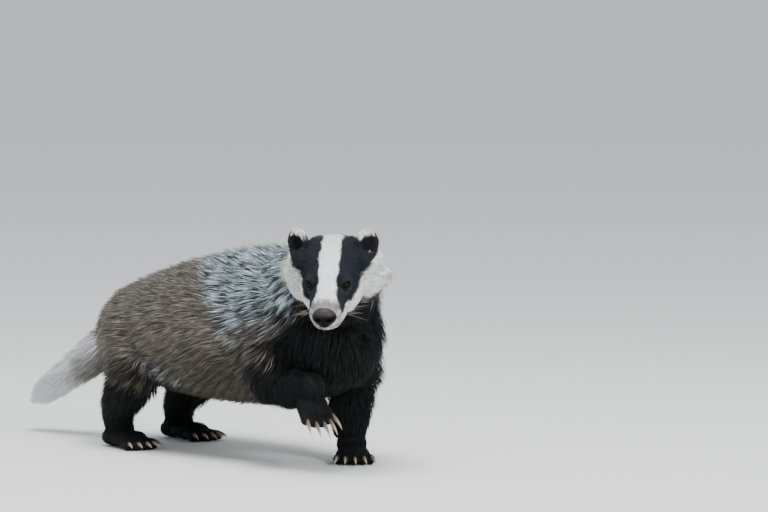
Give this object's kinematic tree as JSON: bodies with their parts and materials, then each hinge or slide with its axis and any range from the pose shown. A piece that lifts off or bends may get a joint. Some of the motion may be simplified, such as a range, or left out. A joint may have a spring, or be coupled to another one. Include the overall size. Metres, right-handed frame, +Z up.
{
  "type": "standing badger model",
  "caption": "Life-size European badger with a striped face, walking with the right forefoot lifted and the head turned to its right.",
  "frame": {"origin": "middle of the bounding box at floor level, under the paws", "axes": "+X from tail to chest, +Y to the animal's left, +Z up"},
  "size_m": [0.7799, 0.2548, 0.3276],
  "materials": {
    "coat_grey": "long grizzled grey coat",
    "coat_black": "short black coat",
    "coat_head": "short white coat with two black stripes",
    "coat_tail": "long pale coat",
    "nose_skin": "moist dark skin",
    "eye_glass": "wet and glossy",
    "claw_horn": "satin horn"
  },
  "bodies": {
    "root": {"torso": "coat_grey", "neck": "coat_grey", "tail": "coat_tail", "head": "coat_head", "nose": "nose_skin", "eye_left": "eye_glass", "eye_right": "eye_glass", "ear_left": "coat_black", "ear_right": "coat_black", "foreleg_left": "coat_black", "foreleg_right": "coat_black", "hindleg_left": "coat_black", "hindleg_right": "coat_black", "claw_fore_left_1": "claw_horn", "claw_fore_left_2": "claw_horn", "claw_fore_left_3": "claw_horn", "claw_fore_left_4": "claw_horn", "claw_fore_left_5": "claw_horn", "claw_fore_right_1": "claw_horn", "claw_fore_right_2": "claw_horn", "claw_fore_right_3": "claw_horn", "claw_fore_right_4": "claw_horn", "claw_fore_right_5": "claw_horn", "claw_hind_left_1": "claw_horn", "claw_hind_left_2": "claw_horn", "claw_hind_left_3": "claw_horn", "claw_hind_left_4": "claw_horn", "claw_hind_left_5": "claw_horn", "claw_hind_right_1": "claw_horn", "claw_hind_right_2": "claw_horn", "claw_hind_right_3": "claw_horn", "claw_hind_right_4": "claw_horn", "claw_hind_right_5": "claw_horn"}
  },
  "joints": []
}
